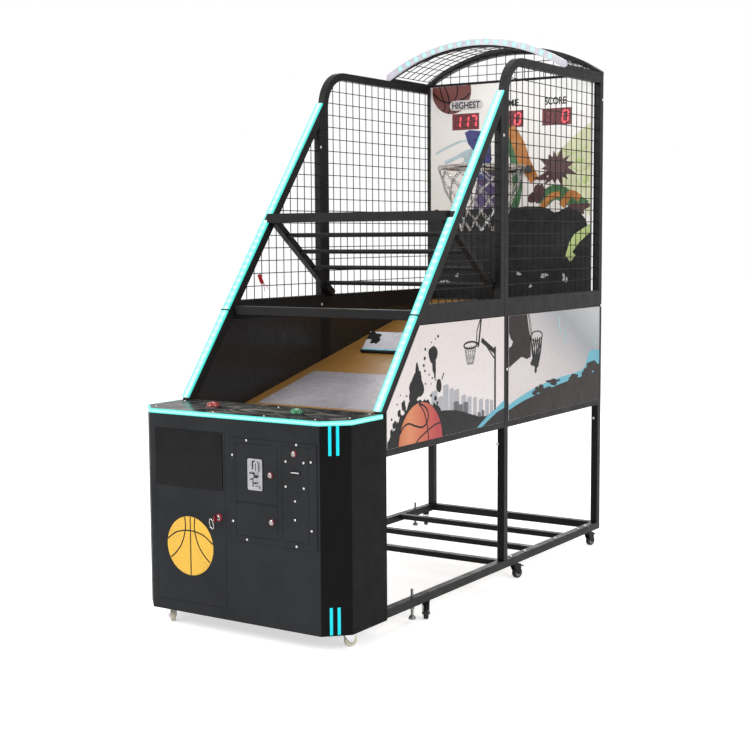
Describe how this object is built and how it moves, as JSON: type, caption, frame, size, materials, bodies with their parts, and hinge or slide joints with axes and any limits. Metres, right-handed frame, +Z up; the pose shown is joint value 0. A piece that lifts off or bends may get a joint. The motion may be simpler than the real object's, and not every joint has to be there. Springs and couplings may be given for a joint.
{
  "type": "basketball hoop machine",
  "caption": "Coin-operated basketball hoop machine: a front cabinet with doors and buttons, sloping ramp, mesh side cages, backboard, hoop with chain net, lit arch roof.",
  "frame": {"origin": "on the floor, under the middle of the machine in X and Y", "axes": "+Z up; -Y is the player's side with the cabinet; +X is the player's right"},
  "size_m": [1.025, 2.357, 2.505],
  "materials": {
    "frame_black_powder_coat": "fine satin powder coat",
    "cabinet_black_paint": "fine-textured satin black paint",
    "gloss_black_acrylic": "polished",
    "printed_panel": "printed sheet under a semi-gloss laminate",
    "printed_backboard": "printed sheet, semi-gloss",
    "led_cyan": "lit diffuser, cyan",
    "light_plate_white": "pale translucent diffuser",
    "ramp_wood": "varnished orange-brown board",
    "gate_white_print": "satin, pale print",
    "mesh_wire_black": "black-coated welded wire",
    "bright_steel": "bright, fine-brushed",
    "zinc_plate": "zinc-plated",
    "chain_steel": "bright chain",
    "key_red_plastic": "moulded dark red",
    "button_red": "translucent glossy red",
    "button_green": "translucent glossy green",
    "display_red_window": "dark red filter window",
    "wheel_black_rubber": "matt",
    "wheel_hub_grey": "moulded",
    "wheel_cream_nylon": "moulded nylon, slightly yellowed"
  },
  "bodies": {
    "frame": {"cabinet_shell": "cabinet_black_paint", "console_top": "gloss_black_acrylic", "console_light_strip": "led_cyan", "coin_plate": "cabinet_black_paint", "left_front_frame": "frame_black_powder_coat", "right_front_frame": "frame_black_powder_coat", "left_rear_frame": "frame_black_powder_coat", "right_rear_frame": "frame_black_powder_coat", "left_front_mesh": "mesh_wire_black", "right_front_mesh": "mesh_wire_black", "left_rear_mesh": "mesh_wire_black", "right_rear_mesh": "mesh_wire_black", "left_front_art_panel": "printed_panel", "right_front_art_panel": "printed_panel", "left_rear_art_panel": "printed_panel", "right_rear_art_panel": "printed_panel", "left_post_light": "led_cyan", "right_post_light": "led_cyan", "base_frame": "frame_black_powder_coat", "ramp": "ramp_wood", "cross_beam": "frame_black_powder_coat", "anti_climb_grille": "frame_black_powder_coat", "backboard": "printed_backboard", "score_display": "frame_black_powder_coat", "hoop_rim": "bright_steel", "chain_net": "chain_steel", "roof_frame": "frame_black_powder_coat", "roof_mesh": "mesh_wire_black", "arch_light_plate": "light_plate_white"},
    "main_door": {"main_door": "cabinet_black_paint", "main_door_plate": "gloss_black_acrylic"},
    "main_door_lock": {"main_door_lock": "zinc_plate"},
    "coin_door": {"coin_door": "cabinet_black_paint", "coin_mech": "bright_steel"},
    "coin_door_lock": {"coin_door_lock": "zinc_plate"},
    "cash_door": {"cash_door": "cabinet_black_paint"},
    "cash_door_lock": {"cash_door_lock": "zinc_plate"},
    "ticket_door": {"ticket_door": "cabinet_black_paint"},
    "ticket_door_lock": {"ticket_door_lock": "zinc_plate"},
    "red_button": {"red_button": "button_red"},
    "green_button": {"green_button": "button_green"},
    "ball_gate": {"ball_gate": "gate_white_print"},
    "levelling_foot_right": {"levelling_foot_right": "zinc_plate"},
    "levelling_foot_left": {"levelling_foot_left": "zinc_plate"},
    "fork_cabinet_left": {"caster_fork_cabinet_left": "zinc_plate"},
    "wheel_cabinet_left": {"caster_wheel_cabinet_left": "wheel_cream_nylon"},
    "fork_cabinet_right": {"caster_fork_cabinet_right": "zinc_plate"},
    "wheel_cabinet_right": {"caster_wheel_cabinet_right": "wheel_cream_nylon"},
    "fork_front_left": {"caster_fork_front_left": "frame_black_powder_coat"},
    "wheel_front_left": {"caster_wheel_front_left": "wheel_black_rubber"},
    "fork_front_right": {"caster_fork_front_right": "frame_black_powder_coat"},
    "wheel_front_right": {"caster_wheel_front_right": "wheel_black_rubber"},
    "fork_middle_left": {"caster_fork_middle_left": "frame_black_powder_coat"},
    "wheel_middle_left": {"caster_wheel_middle_left": "wheel_black_rubber"},
    "fork_middle_right": {"caster_fork_middle_right": "frame_black_powder_coat"},
    "wheel_middle_right": {"caster_wheel_middle_right": "wheel_black_rubber"},
    "fork_rear_left": {"caster_fork_rear_left": "frame_black_powder_coat"},
    "wheel_rear_left": {"caster_wheel_rear_left": "wheel_black_rubber"},
    "fork_rear_right": {"caster_fork_rear_right": "frame_black_powder_coat"},
    "wheel_rear_right": {"caster_wheel_rear_right": "wheel_black_rubber"}
  },
  "joints": [
    {"name": "main_door_hinge", "type": "hinge", "parent": "frame", "child": "main_door", "pos_m": [-0.386, -1.162, 0.459], "axis": [0, 0, -1], "range_deg": [0, 110]},
    {"name": "main_door_lock_turn", "type": "hinge", "parent": "main_door", "child": "main_door_lock", "pos_m": [-0.064, -1.162, 0.471], "axis": [0, 1, 0], "range_deg": [-90, 0]},
    {"name": "coin_door_hinge", "type": "hinge", "parent": "frame", "child": "coin_door", "pos_m": [0.025, -1.165, 0.6595], "axis": [0, 0, -1], "range_deg": [0, 110]},
    {"name": "coin_door_lock_turn", "type": "hinge", "parent": "coin_door", "child": "coin_door_lock", "pos_m": [0.192, -1.165, 0.66], "axis": [0, 1, 0], "range_deg": [-90, 0]},
    {"name": "cash_door_hinge", "type": "hinge", "parent": "frame", "child": "cash_door", "pos_m": [0.025, -1.165, 0.478], "axis": [0, 0, -1], "range_deg": [0, 110]},
    {"name": "cash_door_lock_turn", "type": "hinge", "parent": "cash_door", "child": "cash_door_lock", "pos_m": [0.196, -1.165, 0.48], "axis": [0, 1, 0], "range_deg": [-90, 0]},
    {"name": "ticket_door_hinge", "type": "hinge", "parent": "frame", "child": "ticket_door", "pos_m": [0.3055, -1.165, 0.416], "axis": [1, 0, 0], "range_deg": [0, 100]},
    {"name": "ticket_door_lock_turn", "type": "hinge", "parent": "ticket_door", "child": "ticket_door_lock", "pos_m": [0.303, -1.165, 0.75], "axis": [0, 1, 0], "range_deg": [-180, 0]},
    {"name": "red_button_press", "type": "slide", "parent": "frame", "child": "red_button", "axis": [0, 0, -1], "range_m": [0, 0.004], "stiffness_N_per_m": 600, "springref_m": -0.003},
    {"name": "green_button_press", "type": "slide", "parent": "frame", "child": "green_button", "axis": [0, 0, -1], "range_m": [0, 0.004], "stiffness_N_per_m": 600, "springref_m": -0.003},
    {"name": "ball_gate_lift", "type": "hinge", "parent": "frame", "child": "ball_gate", "pos_m": [0, 0.222, 1.0112], "axis": [1, 0, 0], "range_deg": [-33, 0]},
    {"name": "levelling_foot_right_screw", "type": "slide", "parent": "frame", "child": "levelling_foot_right", "axis": [0, 0, 1], "range_m": [-0.02, 0.002]},
    {"name": "levelling_foot_left_screw", "type": "slide", "parent": "frame", "child": "levelling_foot_left", "axis": [0, 0, 1], "range_m": [-0.02, 0.002]},
    {"name": "swivel_cabinet_left", "type": "hinge", "parent": "frame", "child": "fork_cabinet_left", "pos_m": [-0.36, -1.105, 0.0697], "axis": [0, 0, 1], "continuous": true},
    {"name": "spin_cabinet_left", "type": "hinge", "parent": "fork_cabinet_left", "child": "wheel_cabinet_left", "pos_m": [-0.37316, -1.09272, 0.025], "axis": [-0.682, -0.7314, 0], "continuous": true},
    {"name": "swivel_cabinet_right", "type": "hinge", "parent": "frame", "child": "fork_cabinet_right", "pos_m": [0.43, -1.02, 0.0697], "axis": [0, 0, 1], "continuous": true},
    {"name": "spin_cabinet_right", "type": "hinge", "parent": "fork_cabinet_right", "child": "wheel_cabinet_right", "pos_m": [0.439, -1.00441, 0.025], "axis": [-0.866, 0.5, 0], "continuous": true},
    {"name": "swivel_front_left", "type": "hinge", "parent": "frame", "child": "fork_front_left", "pos_m": [-0.476, -0.51, 0.0747], "axis": [0, 0, 1], "continuous": true},
    {"name": "spin_front_left", "type": "hinge", "parent": "fork_front_left", "child": "wheel_front_left", "pos_m": [-0.48216, -0.49309, 0.025], "axis": [-0.9397, -0.342, 0], "continuous": true},
    {"name": "swivel_front_right", "type": "hinge", "parent": "frame", "child": "fork_front_right", "pos_m": [0.476, -0.51, 0.0747], "axis": [0, 0, 1], "continuous": true},
    {"name": "spin_front_right", "type": "hinge", "parent": "fork_front_right", "child": "wheel_front_right", "pos_m": [0.4858, -0.5251, 0.025], "axis": [0.8387, 0.5446, 0], "continuous": true},
    {"name": "swivel_middle_left", "type": "hinge", "parent": "frame", "child": "fork_middle_left", "pos_m": [-0.476, 0.27, 0.0747], "axis": [0, 0, 1], "continuous": true},
    {"name": "spin_middle_left", "type": "hinge", "parent": "fork_middle_left", "child": "wheel_middle_left", "pos_m": [-0.47757, 0.28793, 0.025], "axis": [-0.9962, -0.0872, 0], "continuous": true},
    {"name": "swivel_middle_right", "type": "hinge", "parent": "frame", "child": "fork_middle_right", "pos_m": [0.476, 0.27, 0.0747], "axis": [0, 0, 1], "continuous": true},
    {"name": "spin_middle_right", "type": "hinge", "parent": "fork_middle_right", "child": "wheel_middle_right", "pos_m": [0.48066, 0.28739, 0.025], "axis": [-0.9659, 0.2588, 0], "continuous": true},
    {"name": "swivel_rear_left", "type": "hinge", "parent": "frame", "child": "fork_rear_left", "pos_m": [-0.476, 1.07, 0.0747], "axis": [0, 0, 1], "continuous": true},
    {"name": "spin_rear_left", "type": "hinge", "parent": "fork_rear_left", "child": "wheel_rear_left", "pos_m": [-0.485, 1.08559, 0.025], "axis": [-0.866, -0.5, 0], "continuous": true},
    {"name": "swivel_rear_right", "type": "hinge", "parent": "frame", "child": "fork_rear_right", "pos_m": [0.476, 1.07, 0.0747], "axis": [0, 0, 1], "continuous": true},
    {"name": "spin_rear_right", "type": "hinge", "parent": "fork_rear_right", "child": "wheel_rear_right", "pos_m": [0.47913, 1.08773, 0.025], "axis": [-0.9848, 0.1736, 0], "continuous": true}
  ]
}
